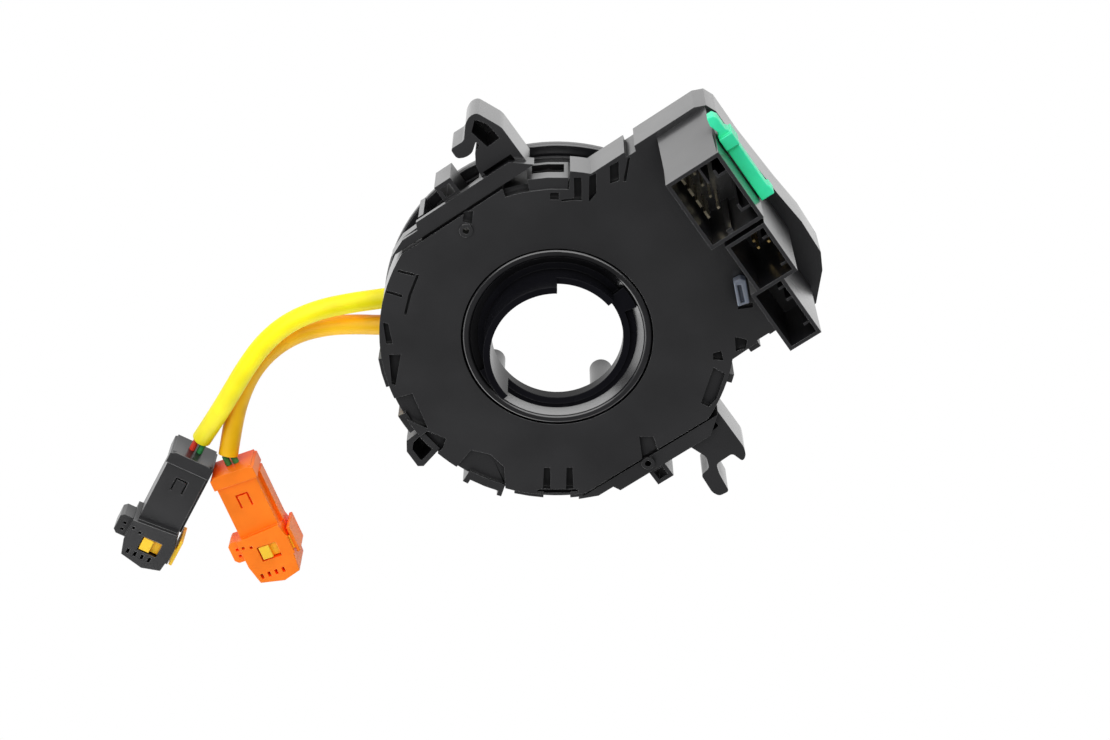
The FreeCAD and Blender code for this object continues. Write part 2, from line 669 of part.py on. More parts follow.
def add_flange_hollows(hollows, side, other):
    """Pockets of the flange and the straight sides, added to those of the cover's edge."""
    hollows[1.0] += [
        beside(43, side, [(0.3, -1.8), (0.9, -2.0), (-3.6, -6.8), (-4.2, -6.4)]),
        beside(22.4, side, [(0.3, -2.0), (0.6, -1.6), (3.6, -3.1), (3.3, -3.6)]),
    ]
    hollows[1.2] += [
        beside(-2.1, CHORD, [(2.5, 0.5), (4.6, -0.8), (2.2, -3.4), (0.7, -1.5)]),
        beside(0, -CHORD, [(1.7, 6), (4.8, 3.9), (3.6, -0.2), (-1.4, -0.2)]),
    ]
    hollows[1.7] += [
        beside(30, side, [(-1, 1.6), (0.6, 0.5), (-2.9, -4.7), (-4.4, -3.6)]),
        beside(30, side, [(2.4, -0.4), (4.4, -0.6), (1.4, -5.1), (-1.6, -6.1)]),
        beside(30, side, [(8.3, -1), (10.9, -1.2), (8, -5.6), (5.7, -5)]),
        beside(22, side, [(-0.4, 1.6), (1.5, 0.4), (0.4, -1.2), (-1.4, 0.1)]),
        beside(38.7, -other, [(0, 5.3), (2.3, 2.8), (0.5, 0.9), (-2, 1.7)]),
        beside(44.7, -other, [(0, 12.8), (-1, 11.5), (2.5, 9.8), (3.2, 10.9)]),
    ]


def make_sockets(design):
    """Three open boxes on the flange; the large one has a sloping foot on its +Y side."""
    top = REAR + cell("socket_height")
    design.pad(design.shapes([corners(*socket_box(kind)) for kind in ("big", "mid")]), REAR, top)
    design.pad(design.block(*socket_box("small")), REAR, top)
    (near, far), (low, high) = socket_box("big")
    foot = high + cell("big_draft")
    design.across([(high - 1, REAR - 0.5), (foot, REAR - 0.5), (foot, REAR), (high, top), (high - 1, top)],
                  near + 0.4, far - 0.4)
    design.pocket(design.shapes([corners(*socket_inside(kind)) for kind in ("big", "small")]),
                  REAR + cell("socket_floor"), top)
    design.pocket(design.block(*socket_inside("mid")), REAR + cell("mid_floor"), top)


def make_socket_keys(design):
    """Key ribs on the sockets' far walls, and the large socket's two hooked ribs."""
    top = REAR + cell("socket_height") - cell("key_sink")
    thick, length = cell("key_thick"), cell("key_length")
    ribs = []
    for kind, places in (("mid", (3.1, -5.4)), ("small", (-10.6, -14.2, -22.3))):
        (near, far), sides = socket_inside(kind)
        ribs += [[(far - length, y), (far + 0.2, y), (far + 0.2, y + thick), (far - length, y + thick)]
                 for y in places]
    (near, far), (low, high) = socket_inside("big")
    hook = length + 1.2
    for y in (low + 3, high - 5):
        ribs.append([(far + 0.2, y), (far - hook, y), (far - hook, y + 2.2), (far - hook + thick, y + 2.2),
                     (far - hook + thick, y + thick), (far + 0.2, y + thick)])
    ribs.append([(near + 4.6, low - 0.2), (near + 6.2, low - 0.2), (near + 6.2, low + 1), (near + 4.6, low + 1)])
    ribs.append([(near + 7.6, high + 0.2), (near + 7.6, high - 5), (near + 8.2, high - 5), (near + 8.2, high + 0.2)])
    design.pad(design.shapes(ribs), REAR + cell("socket_floor") - 0.5, top)


def make_big_socket_blades():
    """A row of four broad blades near the axis and a row of four narrow ones beside it."""
    (near, far), (low, high) = socket_inside("big")
    floor = REAR + cell("socket_floor")
    thick, pitch = cell("blade_thick"), cell("blade_pitch")
    middle = (low + high) / 2
    blades = []
    for name, x, width in (("blade", near + 1.2, cell("blade_width")), ("narrow", near + 4.6, thick)):
        for count in range(4):
            y = middle + pitch * (1.5 - count) - width / 2
            blades.append(box("%s_%d" % (name, count), (x, x + thick), (y, y + width),
                              (floor, floor + cell("blade_height"))))
    return keep("big_socket_blades", group("blades", blades))


def make_mid_socket_pins():
    (near, far), (low, high) = socket_inside("mid")
    floor = REAR + cell("mid_floor")
    thick, pitch, rows = cell("blade_thick"), cell("pin_pitch"), cell("pin_rows")
    pins = []
    for column in (-1, 1):
        for count in range(4):
            x = (near + far) / 2 + column * rows / 2 - thick / 2
            y = (low + high) / 2 + pitch * (1.5 - count) - thick / 2
            pins.append(box("pin_%d%d" % (column + 1, count), (x, x + thick), (y, y + thick),
                            (floor, floor + cell("pin_height"))))
    return keep("mid_socket_pins", group("pins", pins))


def make_connector_lock():
    """Green bar that locks the large socket's terminals, with a stepped head and a foot."""
    (near, far), (low, high) = socket_box("big")
    face = far + cell("lock_gap")
    thick, width = cell("lock_thick"), cell("lock_width")
    level = REAR + cell("lock_height")
    end = high + cell("lock_over")
    start = end - cell("lock_length")
    design = Design("lock_moulding")
    design.pad(design.shape([
        (face, start), (face + thick + 0.4, start), (face + thick + 0.4, start + 2.4),
        (face + thick, start + 3), (face + thick, end - 5.4), (face + thick - 0.6, end - 4.6),
        (face + thick - 0.6, end - 1.2), (face + thick - 1.4, end), (face + 0.4, end),
        (face, end - 2), (face + 0.8, end - 4.6), (face, end - 5.6)]), level, level + width)
    design.pad(design.block((face, face + thick + 0.4), (start, start + 2.4)), level - 1.2, level)
    design.pad(design.block((face, face + thick + 0.4), (end - 9.6, end - 6)), level - 2, level + width + 1)
    return keep("connector_lock", design.body)


def make_locating_peg():
    """Small pale peg with a groove along it, set askew beside the middle and small sockets."""
    (near, far), (low, high) = socket_box("mid")
    design = Design("peg_moulding")
    x, y = near - 7.7, low - 7.9
    middle = REAR + 3
    design.pad(design.shape(beside(x, y, [(-2.9, -2.1), (0.2, -3), (2.9, 3.0), (1.9, 4.2), (-0.1, 4.4)])),
               REAR, middle)
    design.pocket(design.shape(beside(x, y, [(-1.7, -1.8), (-0.7, -2.1), (1.1, 2.6), (0.2, 3)])),
                  middle - 1.2, middle)
    return keep("locating_peg", design.body)


def make_slip_sheets():
    inner, outer = cell("sheet_inner"), CASE - cell("case_wall") - cell("ribbon_edge")
    thick = cell("sheet_thick")
    lower = ring("sheet_on_rotor", outer, inner, DISC_REAR, DISC_REAR + thick)
    upper = ring("sheet_under_cover", outer, inner, COVER_FRONT - thick, COVER_FRONT)
    keep("lower_slip_sheet", lower)
    keep("upper_slip_sheet", upper)


def spiral_edges(first_radius, pitch, half_turns, start_side):
    """Half circles about two centres, a quarter pitch each side of the axis, that grow outwards."""
    edges = []
    radius = first_radius
    point = Vec(start_side * radius, 0, 0)
    for turn in range(half_turns):
        way = start_side if turn % 2 == 0 else -start_side
        centre = point.x - way * radius
        middle = Vec(centre, radius, 0) if turn % 2 == 0 else Vec(centre, -radius, 0)
        end = Vec(centre - way * radius, 0, 0)
        edges.append(Part.Arc(point, middle, end).toShape())
        point, radius = end, radius + pitch / 2
    return edges


def make_ribbon():
    """The flat cable, wound loosely between the hub and the case wall."""
    inner = cell("ribbon_inner").value
    thick, pitch = cell("ribbon_thick").value, cell("ribbon_pitch").value
    outer = cell("case_radius").value - cell("case_wall").value - 1.2
    half_turns = int((outer - inner - thick) / (pitch / 2))
    inside = spiral_edges(inner, pitch, half_turns, 1)
    outside = spiral_edges(inner + thick, pitch, half_turns, 1)
    first = Part.LineSegment(inside[0].Vertexes[0].Point, outside[0].Vertexes[0].Point).toShape()
    last = Part.LineSegment(inside[-1].Vertexes[-1].Point, outside[-1].Vertexes[-1].Point).toShape()
    outline = Part.Wire(Part.__sortEdges__(inside + outside + [first, last]))
    low = DISC_REAR + cell("sheet_thick") + cell("ribbon_edge")
    high = COVER_FRONT - cell("sheet_thick") - cell("ribbon_edge")
    ribbon = doc.addObject("Part::Feature", "ribbon")
    ribbon.Shape = Part.Face(outline).extrude(Vec(0, 0, high.value - low.value))
    ribbon.Placement.Base = Vec(0, 0, low.value)
    return keep("ribbon_cable", ribbon)


LUG_ANGLES = (260, 199)
SWITCH_ANGLE = 12
TERMINAL_ANGLE = 20


def make_terminal_blocks():
    """Blocks that hold the ribbon's ends, one on the hub and one on the case wall."""
    hub = cell("hub_bore") + cell("hub_wall")
    wall = CASE - cell("case_wall")
    low, high = DISC_REAR + 2, COVER_FRONT - 3
    inner = ring("inner_block", hub + 2.2, hub, low, high, 18, TERMINAL_ANGLE + 180)
    outer = ring("outer_block", wall, wall - 1, low, high, 18, TERMINAL_ANGLE)
    keep("rotor_terminal_block", inner)
    keep("case_terminal_block", outer)


def make_switch_socket():
    """Socket for the wheel's switches, on the rotor's front, open to the front."""
    design = Design("switch_moulding")
    near = cell("hub_bore") + cell("hub_wall") + 1
    width, half, wall = cell("switch_width"), cell("switch_length") / 2, cell("switch_wall")
    design.pad(design.block((near, near + width), (-half, half)), 0, DISC_FRONT, SWITCH_ANGLE)
    design.pocket(design.block((near + wall, near + width - wall), (wall - half, half - wall)),
                  0, DISC_FRONT - 4, SWITCH_ANGLE)
    keep("switch_socket", design.body)
    pins = []
    thick, pitch = cell("blade_thick"), cell("pin_pitch")
    for count in range(6):
        pin = box("switch_pin_%d" % count, (near + width / 2, near + width / 2 + thick),
                  (pitch * (count - 2.5) - thick / 2, pitch * (count - 2.5) + thick / 2), (4, DISC_FRONT - 4))
        pins.append(pin)
    pins = group("switch_pins", pins)
    place(pins, turn=SWITCH_ANGLE)
    keep("switch_socket_pins", pins)


def make_lead_gland():
    """Block on the rotor's front that the two leads come out of."""
    design = Design("gland_moulding")
    near = cell("hub_bore") + 1
    far = near + cell("gland_length")
    half = cell("gland_width") / 2
    turn = cell("gland_angle")
    design.pad(design.shape([(near, 3 - half), (near + 3, -half), (far, -half), (far, half),
                             (near + 3, half), (near, half - 3)]), 0, DISC_FRONT, turn)
    return keep("lead_gland", design.body)


def gland_exit(way):
    """Where a lead leaves the gland, and the direction in which it does."""
    angle = math.radians(cell("gland_angle").value)
    far = cell("hub_bore").value + 1 + cell("gland_length").value
    across = way * cell("lead_spacing").value / 2
    along = Vec(math.cos(angle), math.sin(angle), 0)
    aside = Vec(math.sin(angle), -math.cos(angle), 0)
    return along * far + aside * across + Vec(0, 0, cell("lead_exit").value)


# the leads' routes from the gland to their plugs, chosen by hand
BLACK_ROUTE = [(-42.7, 25.3, 5.0), (-49.0, 29.2, 6.8), (-56.8, 33.2, 8.8), (-65.8, 35.0, 9.4),
               (-75.0, 33.9, 9.4), (-84.0, 30.6, 9.4), (-92.4, 26.6, 9.0), (-100.8, 22.6, 7.4),
               (-109.2, 18.8, 5.0)]
ORANGE_ROUTE = [(-45.9, 17.9, 5.0), (-52.2, 21.9, 3.6), (-59.6, 26.2, 2.9), (-68.0, 29.2, 2.9),
                (-77.0, 29.4, 2.9), (-86.0, 26.8, 2.9), (-94.2, 21.8, 2.9), (-101.0, 15.8, 3.4),
                (-106.2, 10.5, 5.0)]


def rounded_path(points):
    """Straight runs joined by tangent arcs, each as large as its two runs allow."""
    edges, radii = [], []
    start = points[0]
    for before, corner, after in zip(points, points[1:], points[2:]):
        back, on = before - corner, after - corner
        turn = math.pi - back.getAngle(on)
        trim = 0.45 * min(back.Length, on.Length)
        radii.append(trim / math.tan(turn / 2))
        back.normalize()
        on.normalize()
        enter, leave = corner + back * trim, corner + on * trim
        inward = (back + on).normalize()
        centre = corner + inward * (radii[-1] / math.cos(turn / 2))
        middle = centre - inward * radii[-1]
        edges.append(Part.LineSegment(start, enter).toShape())
        edges.append(Part.Arc(enter, middle, leave).toShape())
        start = leave
    edges.append(Part.LineSegment(start, points[-1]).toShape())
    return Part.Wire(edges), radii


def make_lead(label, way, route):
    """One sleeved lead as a plain tube along its route."""
    points = [gland_exit(way)] + [Vec(*point) for point in route]
    path, radii = rounded_path(points)
    radius = cell("lead_radius").value
    section = Part.Wire(Part.makeCircle(radius, points[0], points[1] - points[0]))
    tube = path.makePipeShell([section], True, True)
    print(label, "length %.1f" % path.Length, "radii", " ".join("%.0f" % item for item in radii),
          "volume share %.4f" % (tube.Volume / (math.pi * radius ** 2 * path.Length)))
    lead = doc.addObject("Part::Feature", label + "_tube")
    lead.Shape = tube
    return keep(label, lead)


# Where each plug's wires enter it, its direction, and how much longer its body and nose are.
PLUGS = {"black": (-113.1, 16.75, 207.7, 0, -2.2), "orange": (-106.9, 7.6, 256.0, -4, 0.6)}


def make_plug(colour):
    """Angled two-way plug: housing, sliding lock and the ends of its two wires."""
    x, y, angle, more_body, more_nose = PLUGS[colour]
    spot = FreeCAD.Placement(Vec(x, y, 0), FreeCAD.Rotation(Vec(0, 0, 1), angle))
    half, height = cell("plug_width") / 2, cell("plug_height")
    body, nose = cell("plug_body") + more_body, cell("plug_nose") + more_nose
    broad, tall = cell("nose_width") / 2, cell("nose_height")
    collar, rail = cell("collar_length"), cell("rail_thick")
    tip = body + nose
    design = Design(colour + "_plug_moulding")
    design.pad(design.block((0, body + 2), (-half, half)), 0, height)
    design.pad(design.shape([
        (0, -half + 1), (0.8, -half - 0.6), (collar, -half - 0.6), (collar, half + 0.6),
        (0.8, half + 0.6), (0, half - 1)]), 0, height + 0.8)
    design.pad(design.shape([
        (body, -broad + 0.3), (body + nose * 0.6, -broad + 0.3), (tip, -broad + 1.6), (tip + 1.6, 1),
        (tip, broad - 1.2), (body + 4, broad - 0.3), (body - 1, half)]), 0, tall)
    tab = cell("tab_reach")
    design.pad(design.shape([
        (body + 0.8, -broad + 1), (body + 0.8, -broad - tab + 1), (body + 1.8, -broad - tab),
        (body + 6.6, -broad - tab), (body + 7.6, -broad - tab + 1), (body + 7.6, -broad + 1)]), 2.5, height - 1)
    design.pad(design.block((collar, body), (half - 1, half + rail)), 2, height - 3)
    slot_low, slot_high = body + 3.6, body + 8.4
    groove = rail / 2
    latch = [collar + 3.6, collar + 8]
    wide = cell("latch_width") / 2
    design.pocket(design.shape([
        (latch[0], -wide), (latch[1], -wide), (latch[1], groove - wide), (latch[0] + groove, groove - wide),
        (latch[0] + groove, wide - groove), (latch[1], wide - groove), (latch[1], wide), (latch[0], wide)]),
        height - rail, height)
    hole = cell("hole_side")
    holes = [corners((place, place + hole), (y, y + hole))
             for place, y in ((body + 2, -broad + 1), (body + 2.6, -broad + 3.2), (body + 3, -broad - 1.6),
                              (body + 5.2, -broad - 1.6))]
    holes += [corners((tip - 2.6, tip - 2.6 + 2 * hole), (y, y + hole)) for y in (-5, -2.8, -0.6, 1.6)]
    design.pocket(design.shapes(holes), height - 2.4, tall)
    design.pocket(design.block((slot_low, slot_high), (-2.5, broad + 1)), tall - 3, tall)
    roof = tall - rail
    design.pad(design.block((slot_low - 0.5, slot_high + 0.5), (3.4, broad - 0.3)), roof, tall)
    housing = keep(colour + "_plug_housing", design.body)
    housing.Placement = spot
    gap = cell("slide_gap")
    slide = box(colour + "_lock_bar", (slot_low + gap, slot_high - gap), (-2.2, broad + 1.1),
                (tall - 3 + gap, roof - gap))
    block = box(colour + "_lock_block", (slot_low + gap, slot_high - gap), (-2.2, 1), (tall - 2, tall - 0.2))
    strip = box(colour + "_lock_strip", (body + 1, body + 9.5), (broad + 0.1, broad + 1.1),
                (1, roof - gap))
    lock = keep(colour + "_plug_lock", fuse(colour + "_lock", slide, block, strip))
    lock.Placement = spot
    wires = []
    for count, aside in enumerate((-1.1, 1.1)):
        wire = doc.addObject("Part::Cylinder", "%s_wire_%d" % (colour, count))
        length = cell("wire_length") + (1.3 if colour == "black" else 0)
        bind(wire, "Radius", cell("wire_radius"))
        bind(wire, "Height", length)
        wire.Placement = FreeCAD.Placement(Vec(0, 0, 0), FreeCAD.Rotation(Vec(0, 1, 0), 90))
        bind(wire, "Placement.Base.x", -length)
        bind(wire, "Placement.Base.y", aside)
        bind(wire, "Placement.Base.z", cell("lead_exit"))
        wires.append(wire)
    wires = keep(colour + "_plug_wires", group(colour + "_wires", wires))
    wires.Placement = spot


def check_document():
    """Stop on any failed object or bad solid."""
    for thing in doc.Objects:
        bad = [state for state in thing.State if state in ("Invalid", "Error")]
        if bad:
            raise RuntimeError("%s is %s" % (thing.Label, bad[0]))
    for label, piece in PIECES.items():
        if piece.Shape.isNull() or not piece.Shape.isValid() or not piece.Shape.Solids:
            raise RuntimeError(label + " has no valid solid")


make_rotor()
make_retainer_ring()
make_cancel_cam()
make_outer_case()
make_rear_cover()
make_big_socket_blades()
make_mid_socket_pins()
make_connector_lock()
make_locating_peg()
make_slip_sheets()
make_ribbon()
make_terminal_blocks()
make_switch_socket()
make_lead_gland()
make_lead("black_plug_lead", 1, BLACK_ROUTE)
make_lead("orange_plug_lead", -1, ORANGE_ROUTE)
for plug_colour in PLUGS:
    make_plug(plug_colour)
doc.recompute()
check_document()
os.makedirs("parts", exist_ok=True)
for label, piece in PIECES.items():
    piece.Shape.exportStep("parts/%s.step" % label)
    print("%-24s solids %d volume %.0f" % (label, len(piece.Shape.Solids), piece.Shape.Volume))
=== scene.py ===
"""Steering clock spring lying on a white table, rear side up, with its two leads."""
import json
import math

import bmesh
import bpy
from mathutils import Matrix, Vector


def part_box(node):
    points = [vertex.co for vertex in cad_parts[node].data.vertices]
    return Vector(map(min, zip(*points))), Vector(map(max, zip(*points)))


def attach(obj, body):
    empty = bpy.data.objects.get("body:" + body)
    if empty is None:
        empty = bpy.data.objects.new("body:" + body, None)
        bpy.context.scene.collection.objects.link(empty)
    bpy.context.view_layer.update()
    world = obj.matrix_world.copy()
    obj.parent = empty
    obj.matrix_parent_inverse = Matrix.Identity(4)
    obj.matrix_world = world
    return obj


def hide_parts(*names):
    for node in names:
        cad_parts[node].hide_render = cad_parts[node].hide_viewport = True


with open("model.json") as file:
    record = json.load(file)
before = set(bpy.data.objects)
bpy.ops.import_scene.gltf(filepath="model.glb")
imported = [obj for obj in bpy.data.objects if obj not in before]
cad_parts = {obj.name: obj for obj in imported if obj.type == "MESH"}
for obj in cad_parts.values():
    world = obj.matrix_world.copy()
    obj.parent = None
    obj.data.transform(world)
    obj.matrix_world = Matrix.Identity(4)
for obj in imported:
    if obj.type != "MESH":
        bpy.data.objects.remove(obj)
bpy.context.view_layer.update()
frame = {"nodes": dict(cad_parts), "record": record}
scene = bpy.context.scene
MM = 0.001
SLOTS = {row["node"]: row["material_slot"] for row in frame["record"]["subparts"]}
BODY_OF = {name: body for body, names in frame["record"]["behaviour"]["bodies"].items() for name in names}

# Camera
CAMERA_PLACE = Vector((0.1510, 0.2204, 0.6312))
IMAGE_RIGHT = Vector((0.8238, -0.5669, 0.0)).normalized()
TO_CAMERA = Vector((0.2397, 0.3483, 0.9063)).normalized()
SENSOR_WIDTH = 36.0
FOCAL_LENGTH = 80.108


def add_camera():
    """The photograph looks down at 65 degrees and is turned so that the flange is at the upper right."""
    data = bpy.data.cameras.new("photo_camera")
    data.sensor_width = SENSOR_WIDTH
    data.lens = FOCAL_LENGTH
    data.clip_start = 0.01
    camera = bpy.data.objects.new("photo_camera", data)
    scene.collection.objects.link(camera)
    image_up = TO_CAMERA.cross(IMAGE_RIGHT)
    turn = Matrix((IMAGE_RIGHT, image_up, TO_CAMERA)).transposed()
    camera.matrix_world = Matrix.Translation(CAMERA_PLACE) @ turn.to_4x4()
    scene.camera = camera


# Nodes
def new_group(name, inputs, outputs):
    group = bpy.data.node_groups.new(name, "ShaderNodeTree")
    for label, kind, value in inputs:
        socket = group.interface.new_socket(label, in_out="INPUT", socket_type="NodeSocket" + kind)
        socket.default_value = value
    for label, kind in outputs:
        group.interface.new_socket(label, in_out="OUTPUT", socket_type="NodeSocket" + kind)
    return group, group.nodes.new("NodeGroupInput"), group.nodes.new("NodeGroupOutput")


def new_material(name):
    material = bpy.data.materials.new(name)
    material.use_nodes = True
    return material, material.node_tree, material.node_tree.nodes["Principled BSDF"]


def node(tree, kind, links=(), **settings):
    """A node with its inputs filled in: a socket is linked, and anything else is a plain value."""
    made = tree.nodes.new("ShaderNode" + kind)
    for key, value in settings.items():
        setattr(made, key, value)
    for key, value in dict(links).items():
        if isinstance(value, bpy.types.NodeSocket):
            tree.links.new(value, made.inputs[key])
        else:
            made.inputs[key].default_value = value
    return made


def noise(tree, place, scale, detail, roughness):
    return node(tree, "TexNoise", {"Vector": place, "Scale": scale, "Detail": detail,
                                   "Roughness": roughness}).outputs["Fac"]


def spread(tree, value, low, high, to_low, to_high):
    return node(tree, "MapRange", {"Value": value, "From Min": low, "From Max": high,
                                   "To Min": to_low, "To Max": to_high}).outputs["Result"]


def calculated(tree, operation, first, second):
    return node(tree, "Math", {0: first, 1: second}, operation=operation).outputs[0]


def mixed(tree, amount, first, second, blend="MIX"):
    return node(tree, "MixRGB", {0: amount, 1: first, 2: second}, blend_type=blend).outputs[0]


# Patterns of the plastics and the terminals: noise scale, detail and roughness.
SPARK_GRAIN = (2600.0, 3.0, 0.6)
FLOW_MARKS = (55.0, 3.0, 0.55)
RUBBED_AND_HIGHLIT_PATCHES = (420.0, 2.0, 0.5)
SHEEN_CLOUDS = (16.0, 2.0, 0.5)
DRAWING_MARKS = (5000.0, 2.0, 0.5)
TARNISH = (300.0, 3.0, 0.6)

# How a pattern or mask becomes a strength: its low and high, and what they turn into.
# The edge masks lighten outer edges partly as wear and partly as a painted highlight.
SHARP_TURN_IS_EDGE = (0.99, 0.80, 0.0, 1.0)
ONLY_OUTER_EDGES = (0.72, 0.92, 0.0, 1.0)
PATCHY_WEAR_AND_HIGHLIGHT = (0.35, 0.65, 0.35, 1.0)
FLOW_TONE = (0.3, 0.7, 0.82, 1.18)
FLOW_GLOSS = (0.3, 0.7, -0.05, 0.06)
# Painted shade: the colour darkens where walls shelter the surface.
PAINTED_SHADE_IN_HOLLOWS = (0.35, 0.7, 0.8, 0.0)
# Painted shade: the clear skin's sheen thins where walls shelter the surface.
SHEEN_THINNED_AS_PAINTED_SHADE = (0.45, 0.95, 0.05, 1.0)
UNEVEN_SHEEN = (0.3, 0.7, 0.8, 1.0)
TARNISH_TONE = (0.3, 0.7, 0.75, 1.1)

# Lengths in metres: how wide an edge is rubbed and lit with a painted highlight, from how far away a wall
# shelters the surface, the radius at which light rounds every edge, and the height of the grain.
RUBBED_AND_HIGHLIT_WIDTH = 0.0004
SHELTER_REACH = 0.009
SHADED_RADIUS = 0.00025
GRAIN_HEIGHT = 0.00006

# Gloss and depth of the plastics, and the drawn look of the terminals.
GRAIN_STRENGTH = 0.35
CLEAR_SKIN_ROUGHNESS = 0.22
CLEAR_SKIN_INDEX = 2.6
SUBSURFACE_SPREAD = (0.002, 0.001, 0.0006)
STRETCH_ALONG_PINS = (1, 1, 0.08)
SMOOTHEST_MARK, ROUGHEST_MARK = -0.08, 0.12


def moulded_skin():
    """Moulded plastic: spark grain, flow marks, outer edges lightened partly by wear and partly as a painted
    highlight, and painted shade in its hollows.
    """
    group, given, result = new_group(
        "moulded_skin",
        [("Color", "Color", (0.03, 0.03, 0.03, 1)), ("Rubbed And Highlit Color", "Color", (0.1, 0.1, 0.1, 1)),
         ("Roughness", "Float", 0.45), ("Grain", "Float", 0.3), ("Edge Wear And Highlight", "Float", 0.3)],
        [("Color", "Color"), ("Roughness", "Float"), ("Height", "Float"), ("Cloudy Gloss Thinned As Painted Shade", "Float")])
    place = node(group, "TexCoord").outputs["Object"]
    flow = noise(group, place, *FLOW_MARKS)
    rounded = node(group, "Bevel", {"Radius": RUBBED_AND_HIGHLIT_WIDTH}, samples=4).outputs["Normal"]
    flat = node(group, "NewGeometry").outputs["Normal"]
    turn = node(group, "VectorMath", {0: rounded, 1: flat}, operation="DOT_PRODUCT").outputs["Value"]
    shelter = node(group, "AmbientOcclusion", {"Distance": SHELTER_REACH}, samples=6).outputs["AO"]

    # Edges turn to the rubbed colour, partly as wear and partly as a painted highlight.
    edge = calculated(group, "MULTIPLY", spread(group, turn, *SHARP_TURN_IS_EDGE),
                      spread(group, shelter, *ONLY_OUTER_EDGES))
    patch = spread(group, noise(group, place, *RUBBED_AND_HIGHLIT_PATCHES), *PATCHY_WEAR_AND_HIGHLIGHT)
    worn_and_highlit = calculated(group, "MULTIPLY", edge, patch)
    worn_and_highlit = calculated(group, "MULTIPLY", worn_and_highlit, given.outputs["Edge Wear And Highlight"])

    toned = mixed(group, 1.0, given.outputs["Color"], spread(group, flow, *FLOW_TONE), "MULTIPLY")
    squared = mixed(group, 1.0, toned, toned, "MULTIPLY")
    # Painted shade: the colour darkens towards its own square where walls shelter the surface.
    colour_with_painted_shade = mixed(group, spread(group, shelter, *PAINTED_SHADE_IN_HOLLOWS), toned, squared)
    colour = mixed(group, worn_and_highlit, colour_with_painted_shade, given.outputs["Rubbed And Highlit Color"])
    rough = calculated(group, "ADD", given.outputs["Roughness"], spread(group, flow, *FLOW_GLOSS))
    height = calculated(group, "MULTIPLY", noise(group, place, *SPARK_GRAIN), given.outputs["Grain"])
    # Painted shade: the sheen's random clouds are thinned where walls shelter the surface.
    cloudy = spread(group, noise(group, place, *SHEEN_CLOUDS), *UNEVEN_SHEEN)
    cloudy_gloss_thinned_as_painted_shade = calculated(group, "MULTIPLY", spread(group, shelter, *SHEEN_THINNED_AS_PAINTED_SHADE), cloudy)
    for label, value in (("Color", colour), ("Roughness", rough), ("Height", height), ("Cloudy Gloss Thinned As Painted Shade", cloudy_gloss_thinned_as_painted_shade)):
        group.links.new(value, result.inputs[label])
    return group


MOULDED_SKIN = moulded_skin()


def moulded(name, colour, rubbed_and_highlit, roughness, grain, edge, coat=0.0, subsurface=0.0, level=0.5):
    """A moulded plastic with its own colour, grain, wear with a painted edge highlight, and gloss, and a
    clear skin if it has a coat, thinned in hollows as painted shade.
    """
    material, tree, shader = new_material(name)
    skin = tree.nodes.new("ShaderNodeGroup")
    skin.node_tree = MOULDED_SKIN
    for label, value in (("Color", (*colour, 1)), ("Rubbed And Highlit Color", (*rubbed_and_highlit, 1)), ("Roughness", roughness),
                         ("Grain", grain), ("Edge Wear And Highlight", edge)):
        skin.inputs[label].default_value = value
    tree.links.new(skin.outputs["Color"], shader.inputs["Base Color"])
    tree.links.new(skin.outputs["Roughness"], shader.inputs["Roughness"])
    rounded = node(tree, "Bevel", {"Radius": SHADED_RADIUS}, samples=4).outputs["Normal"]
    bump = node(tree, "Bump", {"Height": skin.outputs["Height"], "Strength": GRAIN_STRENGTH,
                               "Distance": GRAIN_HEIGHT, "Normal": rounded})
    tree.links.new(bump.outputs["Normal"], shader.inputs["Normal"])
    shader.inputs["Specular IOR Level"].default_value = level
    if coat > 0:
        # Painted shade: the coat is thinned in the hollows.
        coat_thinned_as_painted_shade = calculated(tree, "MULTIPLY", skin.outputs["Cloudy Gloss Thinned As Painted Shade"], coat)
        tree.links.new(coat_thinned_as_painted_shade, shader.inputs["Coat Weight"])
        shader.inputs["Coat Roughness"].default_value = CLEAR_SKIN_ROUGHNESS
        shader.inputs["Coat IOR"].default_value = CLEAR_SKIN_INDEX
    shader.inputs["Subsurface Weight"].default_value = subsurface
    shader.inputs["Subsurface Radius"].default_value = SUBSURFACE_SPREAD
    return material


def metal(name, colour, roughness):
    """Plated sheet-metal terminals with faint drawing marks and tarnish."""
    material, tree, shader = new_material(name)
    place = node(tree, "TexCoord").outputs["Object"]
    stretched = node(tree, "Mapping", {"Vector": place, "Scale": STRETCH_ALONG_PINS}).outputs["Vector"]
    marks = noise(tree, stretched, *DRAWING_MARKS)
    tint = spread(tree, noise(tree, place, *TARNISH), *TARNISH_TONE)
    toned = mixed(tree, 1.0, (*colour, 1), tint, "MULTIPLY")
    drawn = spread(tree, marks, 0.2, 0.8, roughness + SMOOTHEST_MARK, roughness + ROUGHEST_MARK)
    tree.links.new(toned, shader.inputs["Base Color"])
    tree.links.new(drawn, shader.inputs["Roughness"])
    shader.inputs["Metallic"].default_value = 1.0
    return material


# Colours that are also used for a part of another finish.
ORANGE = (1.0, 0.21, 0.003)
WIRE_GREEN = (0.04, 0.33, 0.1)

